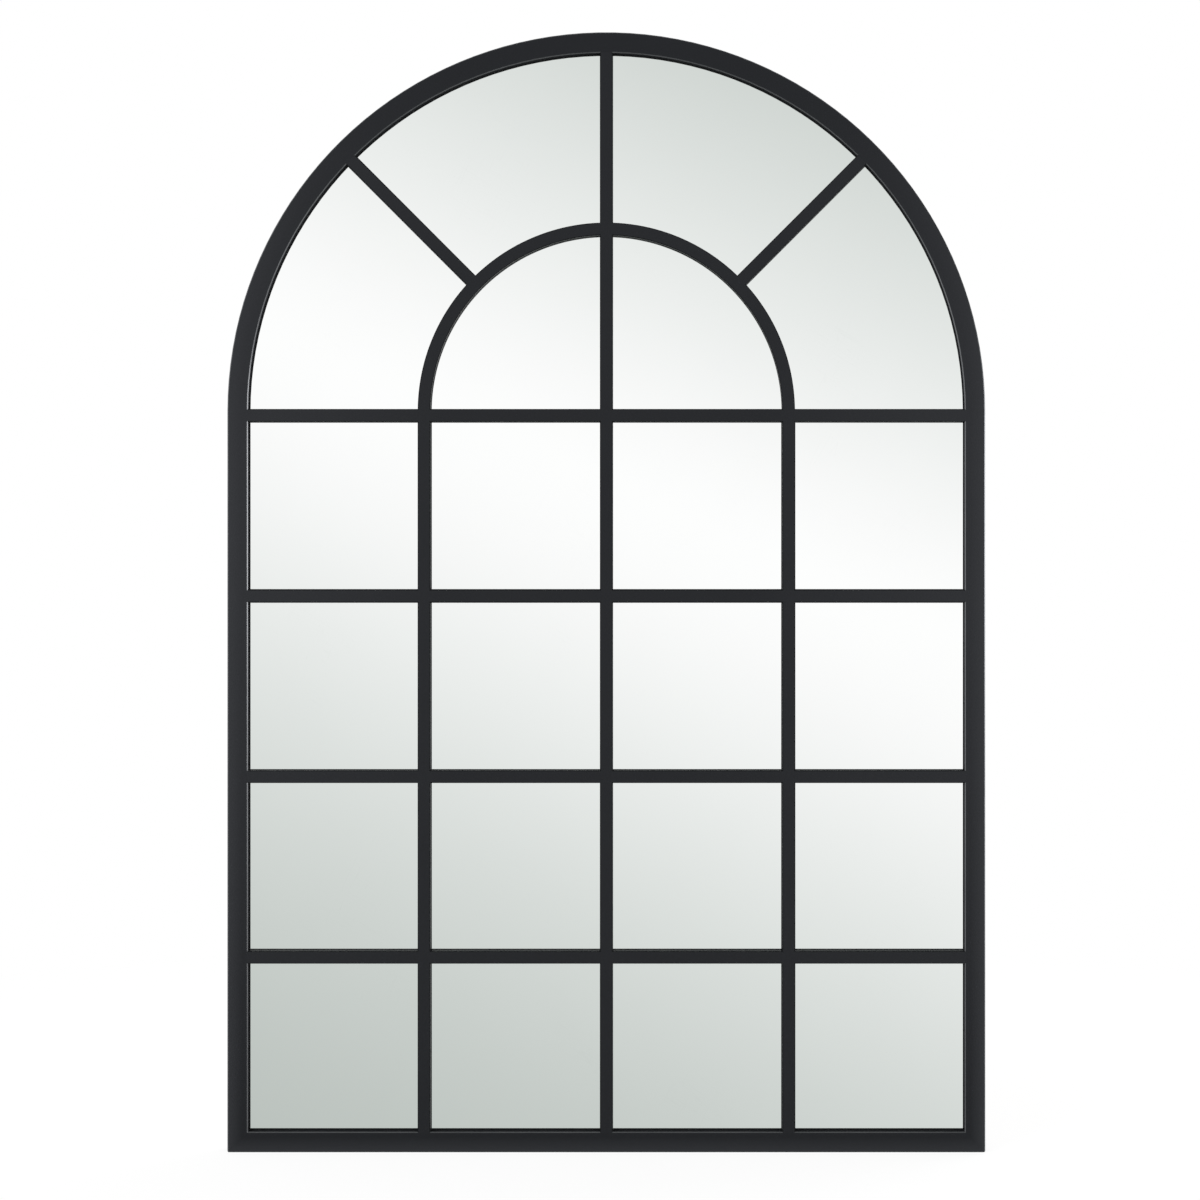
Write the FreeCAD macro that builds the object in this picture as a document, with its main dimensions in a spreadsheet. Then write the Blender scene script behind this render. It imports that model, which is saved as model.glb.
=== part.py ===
import FreeCAD, Part
import math
import os
import Sketcher

# Arched window mirror, hung on a wall. Millimetres, +Z up, the front faces -Y.
# The origin is on the wall plane, on the centre line, level with the spring line of the arch,
# which is also the line on which the two wall hooks carry the rings.

doc = FreeCAD.newDocument("arched_window_mirror")

sizes = {
    # outer frame, a square steel tube
    "overall_width": 812.0,
    "leg_height": 794.0,
    "frame_face": 22.0,
    "frame_depth": 22.0,
    "frame_wall": 1.2,
    "frame_chamfer": 1.0,
    "corner_radius": 2.0,
    # window bars, a smaller steel tube, flush with the front of the frame
    "bar_face": 13.5,
    "bar_depth": 10.0,
    "bar_wall": 1.0,
    "bar_chamfer": 0.8,
    "crossbar_drop": 4.5,
    "spoke_angle": 45.0,
    # sheets behind the bars
    "glass_thickness": 4.0,
    "tape_thickness": 1.0,
    "tape_width": 25.0,
    "tape_length": 640.0,
    "tape_rise": 60.0,
    "board_thickness": 5.0,
    "sheet_gap": 1.0,
    # stepped clips that hold the sheets in the frame
    "clip_thickness": 1.0,
    "clip_width": 16.0,
    "clip_foot": 12.0,
    "clip_web_gap": 0.5,
    "clip_end_margin": 5.0,
    # pan-head screws
    "shank_radius": 1.75,
    "head_radius": 3.5,
    "head_height": 2.2,
    "head_crown": 1.0,
    "screw_length": 9.0,
    "point_length": 2.5,
    "screw_clearance": 0.05,
    "recess_span": 3.6,
    "recess_width": 0.9,
    "recess_depth": 1.2,
    # hanging hardware on the stiles
    "wire_radius": 1.3,
    "ring_width": 18.0,
    "ring_corner": 2.0,
    "ring_leg": 3.0,
    "ring_clearance": 0.35,
    "eye_clearance": 0.05,
    "strap_thickness": 1.0,
    "strap_width": 12.0,
    "first_screw_drop": 20.0,
    "screw_spacing": 12.0,
    # rubber bumpers against the wall
    "bumper_radius": 7.0,
    "bumper_thickness": 6.0,
    "bumper_rounding": 1.5,
    "bumper_rise": 40.0,
    "bumper_angle": 45.0,
}
crossbarRows = 4
paneColumns = 4
stileClips = 3
railClips = 3
archClips = 5
tapeCount = 5

sheet = doc.addObject("Spreadsheet::Sheet", "Sizes")
for row, (alias, value) in enumerate(sizes.items(), start=1):
    sheet.set(f"A{row}", alias.replace("_", " "))
    sheet.set(f"B{row}", str(value))
    sheet.setAlias(f"B{row}", alias)
doc.recompute()

# Places worked out from the sizes, each as one expression.
halfWidth = "(Sizes.overall_width / 2)"
frameInner = "(Sizes.overall_width / 2 - Sizes.frame_face)"
frameMiddle = "(Sizes.overall_width / 2 - Sizes.frame_face / 2)"
bottomEdge = "(-Sizes.leg_height)"
railTop = "(Sizes.frame_face - Sizes.leg_height)"
railMiddle = "(Sizes.frame_face / 2 - Sizes.leg_height)"

# Depths, from the wall at zero to the front of the frame.
frameBack = "(-Sizes.bumper_thickness)"
frameFront = "(-Sizes.bumper_thickness - Sizes.frame_depth)"
barBack = f"({frameFront} + Sizes.bar_depth)"
glassBack = f"({barBack} + Sizes.glass_thickness)"
tapeBack = f"({glassBack} + Sizes.tape_thickness)"
boardBack = f"({tapeBack} + Sizes.board_thickness)"

# The panes between the uprights are equally wide, so the side bars stand at the quarter points.
paneWidth = (
    f"((Sizes.overall_width - 2 * Sizes.frame_face - {paneColumns - 1} * Sizes.bar_face)"
    f" / {paneColumns})"
)
sideBarInner = f"(Sizes.bar_face / 2 + {paneWidth})"
sideBarMiddle = f"({sideBarInner} + Sizes.bar_face / 2)"
rowPitch = (
    "((Sizes.leg_height - Sizes.frame_face - Sizes.crossbar_drop + Sizes.bar_face / 2)"
    f" / {crossbarRows})"
)

# The ring hangs from its eye; turned up, its bow meets the hook at the height of the origin.
ringDepth = "(Sizes.ring_corner + Sizes.ring_leg + Sizes.ring_width / 2)"
eyeHeight = f"(Sizes.wire_radius - {ringDepth})"
eyeOut = "(Sizes.strap_thickness + Sizes.ring_clearance + Sizes.wire_radius)"
eyeDepth = f"({frameBack} + {eyeOut})"
boreRadius = "(Sizes.shank_radius + Sizes.screw_clearance)"


def valueOf(expression):
    return float(sheet.evalExpression(expression.replace("Sizes.", "")))


def newBody(name):
    return doc.addObject("PartDesign::Body", name)


def originPlane(body, role):
    for feature in body.Origin.OriginFeatures:
        if feature.Role == role:
            return feature
    raise RuntimeError(f"{body.Name} has no {role}")


def newSketch(body, name, role):
    sketch = body.newObject("Sketcher::SketchObject", name)
    sketch.AttachmentSupport = [(originPlane(body, role), "")]
    sketch.MapMode = "FlatFace"
    return sketch


def pinPoint(sketch, geometry, point, corner):
    # ties one point of a sketch to a pair of expressions, measured from the sketch's origin
    for kind, expression in zip(("DistanceX", "DistanceY"), corner):
        datum = Sketcher.Constraint(kind, -1, 1, geometry, point, valueOf(expression))
        index = sketch.addConstraint(datum)
        sketch.setExpression(f"Constraints[{index}]", expression)


def outlineSketch(body, name, role, corners):
    # a closed outline of straight lines through corners given as pairs of expressions
    sketch = newSketch(body, name, role)
    points = [FreeCAD.Vector(valueOf(x), valueOf(y), 0) for x, y in corners]
    count = len(points)
    for i in range(count):
        sketch.addGeometry(Part.LineSegment(points[i], points[(i + 1) % count]), False)
    for i in range(count):
        sketch.addConstraint(Sketcher.Constraint("Coincident", i, 2, (i + 1) % count, 1))
    for i, corner in enumerate(corners):
        pinPoint(sketch, i, 1, corner)
    return sketch


def circleSketch(body, name, role, centre, radius):
    sketch = newSketch(body, name, role)
    middle = FreeCAD.Vector(valueOf(centre[0]), valueOf(centre[1]), 0)
    sketch.addGeometry(Part.Circle(middle, FreeCAD.Vector(0, 0, 1), valueOf(radius)), False)
    pinPoint(sketch, 0, 3, centre)
    index = sketch.addConstraint(Sketcher.Constraint("Radius", 0, valueOf(radius)))
    sketch.setExpression(f"Constraints[{index}]", radius)
    return sketch


def addPad(body, name, sketch, length, midplane=False):
    pad = body.newObject("PartDesign::Pad", name)
    pad.Profile = sketch
    pad.setExpression("Length", length)
    pad.Midplane = midplane
    return pad


def addPocket(body, name, sketch):
    # cuts right through, both ways from the sketch
    pocket = body.newObject("PartDesign::Pocket", name)
    pocket.Profile = sketch
    pocket.Type = "ThroughAll"
    pocket.Midplane = True
    return pocket


def movedTo(feature, x="0", y="0", z="0"):
    for letter, expression in zip("xyz", (x, y, z)):
        feature.setExpression(f"Placement.Base.{letter}", expression)
    return feature


def cutBy(name, base, tools):
    # the base with each tool taken away in turn
    for number, tool in enumerate(tools, start=1):
        cut = doc.addObject("Part::Cut", f"{name}_cut{number}")
        cut.Base = base
        cut.Tool = tool
        base = cut
    return base


def groupOf(name, members):
    group = doc.addObject("Part::Compound", name)
    group.Links = members
    return group


nodes = {}


def keep(node, feature):
    feature.Label = node
    nodes[node] = feature
    return feature


# Sections of the tubes as pairs of place across and depth: the outside, then the bore.
def frameSection(middle):
    # square, with all four edges chamfered
    low = f"({middle} - Sizes.frame_face / 2)"
    high = f"({middle} + Sizes.frame_face / 2)"
    chamfer = "Sizes.frame_chamfer"
    return [
        (f"{low} + {chamfer}", frameFront),
        (f"{high} - {chamfer}", frameFront),
        (high, f"{frameFront} + {chamfer}"),
        (high, f"{frameBack} - {chamfer}"),
        (f"{high} - {chamfer}", frameBack),
        (f"{low} + {chamfer}", frameBack),
        (low, f"{frameBack} - {chamfer}"),
        (low, f"{frameFront} + {chamfer}"),
    ]


def barSection(middle):
    # the two front edges are chamfered, the back lies flat on the glass
    low = f"({middle} - Sizes.bar_face / 2)"
    high = f"({middle} + Sizes.bar_face / 2)"
    chamfer = "Sizes.bar_chamfer"
    return [
        (f"{low} + {chamfer}", frameFront),
        (f"{high} - {chamfer}", frameFront),
        (high, f"{frameFront} + {chamfer}"),
        (high, barBack),
        (low, barBack),
        (low, f"{frameFront} + {chamfer}"),
    ]


def boreSection(middle, face, wall, back):
    low = f"({middle} - {face} / 2 + {wall})"
    high = f"({middle} + {face} / 2 - {wall})"
    near = f"({frameFront} + {wall})"
    far = f"({back} - {wall})"
    return [(low, near), (high, near), (high, far), (low, far)]


def frameBore(middle):
    return boreSection(middle, "Sizes.frame_face", "Sizes.frame_wall", frameBack)


def barBore(middle):
    return boreSection(middle, "Sizes.bar_face", "Sizes.bar_wall", barBack)


def upright(name, section, length):
    # a straight member along Z from its own origin
    body = newBody(name)
    sketch = outlineSketch(body, f"{name}_section", "XY_Plane", section)
    addPad(body, f"{name}_pad", sketch, length)
    return body


def lying(name, section, length):
    # a straight member along X from its own origin
    body = newBody(name)
    across = [(depth, height) for height, depth in section]
    sketch = outlineSketch(body, f"{name}_section", "YZ_Plane", across)
    addPad(body, f"{name}_pad", sketch, length)
    return body


def ringOf(name, section, angle, leftwards=False):
    # a section turned about the Y axis, from the spring line up and over
    body = newBody(name)
    sketch = outlineSketch(body, f"{name}_section", "XY_Plane", section)
    turn = body.newObject("PartDesign::Revolution", f"{name}_turn")
    turn.Profile = sketch
    turn.ReferenceAxis = (sketch, ["V_Axis"])
    turn.Angle = angle
    turn.Reversed = not leftwards
    return body


# Outer frame: the arch, two stiles and the bottom rail, all of one square tube.
halfTurn = 180
quarterTurn = 90


def mitre(body, name, corners):
    # takes off the triangle past a 45 degree joint line
    triangle = outlineSketch(body, f"{name}_mitre", "XZ_Plane", corners)
    addPocket(body, f"{name}_mitre_cut", triangle)


def box(name, length, width, height):
    feature = doc.addObject("Part::Box", name)
    feature.setExpression("Length", length)
    feature.setExpression("Width", width)
    feature.setExpression("Height", height)
    return feature


def cylinderAlongY(name, radius, length):
    # from its own origin towards -Y, into the frame
    feature = doc.addObject("Part::Cylinder", name)
    feature.setExpression("Radius", radius)
    feature.setExpression("Height", length)
    feature.Placement = FreeCAD.Placement(
        FreeCAD.Vector(0, 0, 0), FreeCAD.Rotation(FreeCAD.Vector(1, 0, 0), 90)
    )
    return feature


def cornerTool(side, sign):
    # what is ground off a bottom corner: a square prism less the quarter round that stays
    radius = "Sizes.corner_radius"
    block = box(f"corner_block_{side}", radius, "Sizes.frame_depth", radius)
    inset = radius if sign > 0 else "0"
    movedTo(block, f"{sign} * {halfWidth} - {inset}", frameFront, bottomEdge)
    post = cylinderAlongY(f"corner_round_{side}", radius, "Sizes.frame_depth")
    movedTo(post, f"{sign} * ({halfWidth} - {radius})", frameBack, f"{bottomEdge} + {radius}")
    return cutBy(f"corner_tool_{side}", block, [post])


archOuter = ringOf("arch_outer", frameSection(frameMiddle), halfTurn)
archBore = ringOf("arch_bore", frameBore(frameMiddle), halfTurn)

stileOuters = {}
stileBores = {}
cornerTools = {}
for side, sign in (("left", -1), ("right", 1)):
    across = f"({sign} * {frameMiddle})"
    stile = upright(f"stile_{side}_outer", frameSection(across), "Sizes.leg_height")
    mitre(
        stile,
        f"stile_{side}",
        [
            (f"{sign} * {frameInner}", "0"),
            (f"{sign} * {halfWidth}", "0"),
            (f"{sign} * {frameInner}", "Sizes.frame_face"),
        ],
    )
    stileOuters[side] = movedTo(stile, z=bottomEdge)
    bore = upright(f"stile_{side}_bore", frameBore(across), "Sizes.leg_height")
    stileBores[side] = movedTo(bore, z=bottomEdge)
    cornerTools[side] = cornerTool(side, sign)

railOuter = lying("rail_outer", frameSection("0"), "Sizes.overall_width")
for side, near, far in (
    ("left", "0", "Sizes.frame_face"),
    ("right", "Sizes.overall_width", "Sizes.overall_width - Sizes.frame_face"),
):
    mitre(
        railOuter,
        f"rail_{side}",
        [
            (near, "-Sizes.frame_face / 2"),
            (near, "Sizes.frame_face / 2"),
            (far, "Sizes.frame_face / 2"),
        ],
    )
movedTo(railOuter, f"-{halfWidth}", z=railMiddle)
railBore = movedTo(
    lying("rail_bore", frameBore("0"), "Sizes.overall_width"), f"-{halfWidth}", z=railMiddle
)

# Grille: every bar starts inside what it is welded to and is cut back to fit against it, so that its
# front face runs on flush over the neighbour's chamfered edge, as a ground weld does.
centreOuter = upright(
    "centre_bar_outer", barSection("0"), f"{frameMiddle} - {railMiddle}"
)
centreBore = upright("centre_bar_bore", barBore("0"), f"{frameMiddle} - {railMiddle}")
for feature in (centreOuter, centreBore):
    movedTo(feature, z=railMiddle)
keep("centre_bar", cutBy("centre_bar", centreOuter, [railOuter, archOuter, centreBore]))

sideOuters = {}
innerOuters = {}
spokeFoot = f"({sideBarMiddle} + Sizes.crossbar_drop * sin(Sizes.spoke_angle * 1 deg))"
spokeLength = f"({frameMiddle} - {sideBarMiddle})"
for side, sign in (("left", -1), ("right", 1)):
    across = f"({sign} * {sideBarMiddle})"
    outer = upright(f"side_bar_{side}_outer", barSection(across), f"-{railMiddle}")
    bore = upright(f"side_bar_{side}_bore", barBore(across), f"-{railMiddle}")
    for feature in (outer, bore):
        movedTo(feature, z=railMiddle)
    sideOuters[side] = outer
    keep(f"side_bar_{side}", cutBy(f"side_bar_{side}", outer, [railOuter, bore]))

    leftwards = sign < 0
    innerOuter = ringOf(f"inner_{side}_outer", barSection(across), quarterTurn, leftwards)
    innerBore = ringOf(f"inner_{side}_bore", barBore(across), quarterTurn, leftwards)
    innerOuters[side] = innerOuter
    keep(
        f"inner_arch_{side}",
        cutBy(f"inner_arch_{side}", innerOuter, [centreOuter, innerBore]),
    )

    # The spokes radiate from the crossing of the centre bar and the top crossbars.
    outer = lying(f"spoke_{side}_outer", barSection("0"), spokeLength)
    bore = lying(f"spoke_{side}_bore", barBore("0"), spokeLength)
    for feature in (outer, bore):
        feature.Placement.Rotation = FreeCAD.Rotation(FreeCAD.Vector(0, -1, 0), 1)
        turn = "Sizes.spoke_angle" if sign > 0 else "(180 - Sizes.spoke_angle)"
        feature.setExpression("Placement.Rotation.Angle", f"{turn} * 1 deg")
        movedTo(
            feature,
            f"{sign} * {spokeFoot} * cos(Sizes.spoke_angle * 1 deg)",
            "0",
            f"{spokeFoot} * sin(Sizes.spoke_angle * 1 deg) - Sizes.crossbar_drop",
        )
    keep(f"spoke_{side}", cutBy(f"spoke_{side}", outer, [innerOuter, archOuter, bore]))

for row in range(crossbarRows):
    height = f"(-Sizes.crossbar_drop - {row} * {rowPitch})"
    for side, sign in (("left", -1), ("right", 1)):
        spans = {
            "outer": (sideBarMiddle, frameMiddle, [stileOuters[side], sideOuters[side]]),
            "inner": ("0", sideBarMiddle, [sideOuters[side], centreOuter]),
        }
        for place, (near, far, tools) in spans.items():
            node = f"crossbar_row{row + 1}_{side}_{place}"
            start = near if sign > 0 else f"-{far}"
            outer = lying(f"{node}_outer", barSection("0"), f"{far} - {near}")
            bore = lying(f"{node}_bore", barBore("0"), f"{far} - {near}")
            for feature in (outer, bore):
                movedTo(feature, start, "0", height)
            if row == 0:
                # the top row stands a little above the spring line, against the rings too
                tools = tools + [innerOuters[side]]
                if place == "outer":
                    tools = tools + [archOuter]
            keep(node, cutBy(node, outer, tools + [bore]))


# Sheets behind the grille: mirror, foam tapes and backing board, all with the frame's arched outline.
def archedSheet(node, back, thickness):
    body = newBody(node)
    reach = f"({frameInner} - Sizes.sheet_gap)"
    foot = f"({railTop} + Sizes.sheet_gap)"
    sketch = newSketch(body, f"{node}_outline", "XZ_Plane")
    a, z = valueOf(reach), valueOf(foot)
    corners = [(-a, z), (a, z), (a, 0)]
    points = [FreeCAD.Vector(x, y, 0) for x, y in corners]
    sketch.addGeometry(Part.LineSegment(points[0], points[1]), False)
    sketch.addGeometry(Part.LineSegment(points[1], points[2]), False)
    circle = Part.Circle(FreeCAD.Vector(0, 0, 0), FreeCAD.Vector(0, 0, 1), a)
    sketch.addGeometry(Part.ArcOfCircle(circle, 0, math.pi), False)
    sketch.addGeometry(Part.LineSegment(FreeCAD.Vector(-a, 0, 0), points[0]), False)
    sketch.addConstraint(Sketcher.Constraint("Coincident", 0, 2, 1, 1))
    sketch.addConstraint(Sketcher.Constraint("Coincident", 3, 2, 0, 1))
    sketch.addConstraint(Sketcher.Constraint("Tangent", 1, 2, 2, 1))
    sketch.addConstraint(Sketcher.Constraint("Tangent", 2, 2, 3, 1))
    pinPoint(sketch, 0, 1, (f"-{reach}", foot))
    pinPoint(sketch, 0, 2, (reach, foot))
    pinPoint(sketch, 1, 2, (reach, "0"))
    vertical = Sketcher.Constraint("Vertical", 3)
    sketch.addConstraint(vertical)
    addPad(body, f"{node}_pad", sketch, thickness)
    keep(node, movedTo(body, y=back))


archedSheet("mirror_glass", glassBack, "Sizes.glass_thickness")
archedSheet("backing_board", boardBack, "Sizes.board_thickness")

tapePitch = f"(2 * {frameInner} / {tapeCount})"
tapes = []
for number in range(tapeCount):
    strip = box(
        f"tape_{number + 1}", "Sizes.tape_width", "Sizes.tape_thickness", "Sizes.tape_length"
    )
    middle = f"({number} - {(tapeCount - 1) / 2}) * {tapePitch}"
    movedTo(
        strip,
        f"{middle} - Sizes.tape_width / 2",
        glassBack,
        f"{railTop} + Sizes.tape_rise",
    )
    tapes.append(strip)
keep("mounting_tapes", groupOf("mounting_tapes", tapes))


# Fixings: one pan-head screw and one stepped clip, each drawn once and repeated.
def turnedSection(name, corners):
    # a closed half section turned all the way round the Y axis
    body = newBody(name)
    sketch = outlineSketch(body, f"{name}_section", "XY_Plane", corners)
    turn = body.newObject("PartDesign::Revolution", f"{name}_turn")
    turn.Profile = sketch
    turn.ReferenceAxis = (sketch, ["V_Axis"])
    turn.Angle = 2 * halfTurn
    return body


screwSolid = turnedSection(
    "screw_solid",
    [
        ("0", "-Sizes.screw_length"),
        ("Sizes.shank_radius", "Sizes.point_length - Sizes.screw_length"),
        ("Sizes.shank_radius", "0"),
        ("Sizes.head_radius", "0"),
        ("Sizes.head_radius", "Sizes.head_height - Sizes.head_crown"),
        ("Sizes.head_radius - Sizes.head_crown", "Sizes.head_height"),
        ("0", "Sizes.head_height"),
    ],
)
recessFloor = "Sizes.head_height - Sizes.recess_depth"
slots = []
for name, length, height in (
    ("recess_across", "Sizes.recess_span", "Sizes.recess_width"),
    ("recess_upright", "Sizes.recess_width", "Sizes.recess_span"),
):
    slot = box(name, length, "Sizes.recess_depth", height)
    slots.append(movedTo(slot, f"-{length} / 2", recessFloor, f"-{height} / 2"))
screw = cutBy("screw", screwSolid, slots)

clipStep = f"({frameBack} - {boardBack})"
clipWebOuter = "(Sizes.frame_face / 2 + Sizes.clip_web_gap)"
clipWebInner = f"({clipWebOuter} + Sizes.clip_thickness)"
clipReach = f"({clipWebInner} + Sizes.clip_foot)"
clipSolid = newBody("clip_solid")
clipSketch = outlineSketch(
    clipSolid,
    "clip_section",
    "XY_Plane",
    [
        ("Sizes.clip_end_margin", "0"),
        ("Sizes.clip_end_margin", "Sizes.clip_thickness"),
        (f"-{clipWebInner}", "Sizes.clip_thickness"),
        (f"-{clipWebInner}", f"Sizes.clip_thickness - {clipStep}"),
        (f"-{clipReach}", f"Sizes.clip_thickness - {clipStep}"),
        (f"-{clipReach}", f"-{clipStep}"),
        (f"-{clipWebOuter}", f"-{clipStep}"),
        (f"-{clipWebOuter}", "0"),
    ],
)
addPad(clipSolid, "clip_pad", clipSketch, "Sizes.clip_width", midplane=True)
clipHole = cylinderAlongY("clip_hole", boreRadius, "3 * Sizes.clip_thickness")
clip = cutBy("clip", clipSolid, [movedTo(clipHole, y="2 * Sizes.clip_thickness")])

# A hole through the back wall of the frame tube, from its own origin on the frame's back.
wallHole = cylinderAlongY("wall_hole", boreRadius, "3 * Sizes.frame_wall")
movedTo(wallHole, y="Sizes.frame_wall")


def repeated(name, master, station, depth):
    # the same piece again, at a place on the frame's middle line and turned to face outwards
    x, z, angle = station
    link = doc.addObject("App::Link", name)
    link.LinkedObject = master
    link.LinkTransform = True
    turn = FreeCAD.Rotation(FreeCAD.Vector(0, -1, 0), angle)
    link.Placement = FreeCAD.Placement(FreeCAD.Vector(0, 0, 0), turn)
    return movedTo(link, x, depth, z)


def evenly(count, span):
    # middles of equal shares of a span that is centred on zero
    return [f"({number} - {(count - 1) / 2}) * {span} / {count}" for number in range(count)]


stations = {"left": [], "right": [], "rail": [], "arch": []}
for side, sign in (("left", -1), ("right", 1)):
    for share in evenly(stileClips, "Sizes.leg_height"):
        height = f"{share} - Sizes.leg_height / 2"
        outwards = 0 if sign > 0 else halfTurn
        stations[side].append((f"{sign} * {frameMiddle}", height, outwards))
for share in evenly(railClips, f"(2 * {frameInner})"):
    stations["rail"].append((share, railMiddle, -quarterTurn))
for number in range(archClips):
    angle = halfTurn * (number + 0.5) / archClips
    stations["arch"].append(
        (f"{frameMiddle} * cos({angle} deg)", f"{frameMiddle} * sin({angle} deg)", angle)
    )

clips = []
clipScrews = []
screwSeat = f"{frameBack} + Sizes.clip_thickness"
for part, places in stations.items():
    for number, station in enumerate(places, start=1):
        clips.append(repeated(f"clip_{part}_{number}", clip, station, frameBack))
        clipScrews.append(repeated(f"clip_screw_{part}_{number}", screw, station, screwSeat))
keep("retaining_clips", groupOf("retaining_clips", clips))
keep("clip_screws", groupOf("clip_screws", clipScrews))

# The straps are screwed to the stiles below their eyes, through the same two places.
strapStations = {}
strapScrews = []
strapSeat = f"{frameBack} + Sizes.strap_thickness"
for side, sign in (("left", -1), ("right", 1)):
    strapStations[side] = [
        (f"{sign} * {frameMiddle}", f"{eyeHeight} - Sizes.first_screw_drop - {further}", 0)
        for further in ("0", "Sizes.screw_spacing")
    ]
    stations[side] += strapStations[side]
    for number, station in enumerate(strapStations[side], start=1):
        strapScrews.append(repeated(f"strap_screw_{side}_{number}", screw, station, strapSeat))
keep("strap_screws", groupOf("strap_screws", strapScrews))

frameHoles = {}
for part, places in stations.items():
    holes = [
        repeated(f"hole_{part}_{number}", wallHole, station, frameBack)
        for number, station in enumerate(places, start=1)
    ]
    frameHoles[part] = groupOf(f"holes_{part}", holes)

keep("frame_arch", cutBy("frame_arch", archOuter, [archBore, frameHoles["arch"]]))
for side in ("left", "right"):
    node = f"frame_stile_{side}"
    tools = [cornerTools[side], stileBores[side], frameHoles[side]]
    keep(node, cutBy(node, stileOuters[side], tools))
tools = [cornerTools["left"], cornerTools["right"], railBore, frameHoles["rail"]]
keep("frame_bottom_rail", cutBy("frame_bottom_rail", railOuter, tools))


# Hanging hardware: a strap with a rolled eye on each stile, and a ring that turns in the eye.
def hangerStrap(side, sign):
    # own origin on the frame's back, level with the eye
    node = f"hanger_strap_{side}"
    body = newBody(f"{node}_solid")
    half = "(Sizes.strap_width / 2)"
    end = "(Sizes.first_screw_drop + Sizes.screw_spacing)"
    a, z = valueOf(half), -valueOf(end)
    plate = newSketch(body, f"{node}_plate", "XZ_Plane")
    points = [FreeCAD.Vector(x, y, 0) for x, y in ((-a, z), (-a, 0), (a, 0), (a, z))]
    for i in range(3):
        plate.addGeometry(Part.LineSegment(points[i], points[i + 1]), False)
    circle = Part.Circle(FreeCAD.Vector(0, z, 0), FreeCAD.Vector(0, 0, 1), a)
    plate.addGeometry(Part.ArcOfCircle(circle, math.pi, 2 * math.pi), False)
    plate.addConstraint(Sketcher.Constraint("Coincident", 0, 2, 1, 1))
    plate.addConstraint(Sketcher.Constraint("Coincident", 1, 2, 2, 1))
    plate.addConstraint(Sketcher.Constraint("Tangent", 0, 1, 3, 1))
    plate.addConstraint(Sketcher.Constraint("Tangent", 2, 2, 3, 2))
    pinPoint(plate, 0, 1, (f"-{half}", f"-{end}"))
    pinPoint(plate, 0, 2, (f"-{half}", "0"))
    pinPoint(plate, 1, 2, (half, "0"))
    plate.addConstraint(Sketcher.Constraint("Vertical", 2))
    addPad(body, f"{node}_plate_pad", plate, "Sizes.strap_thickness").Reversed = True
    outer = "Sizes.wire_radius + Sizes.eye_clearance + Sizes.strap_thickness"
    eye = circleSketch(body, f"{node}_eye", "YZ_Plane", (eyeOut, "0"), outer)
    addPad(body, f"{node}_eye_pad", eye, "Sizes.strap_width", midplane=True)
    inner = "Sizes.wire_radius + Sizes.eye_clearance"
    bore = circleSketch(body, f"{node}_bore", "YZ_Plane", (eyeOut, "0"), inner)
    addPocket(body, f"{node}_bore_cut", bore)
    movedTo(body, f"{sign} * {frameMiddle}", frameBack, eyeHeight)
    holes = [
        repeated(f"strap_hole_{side}_{number}", wallHole, station, strapSeat)
        for number, station in enumerate(strapStations[side], start=1)
    ]
    keep(node, cutBy(node, body, [groupOf(f"strap_holes_{side}", holes)]))


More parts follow.
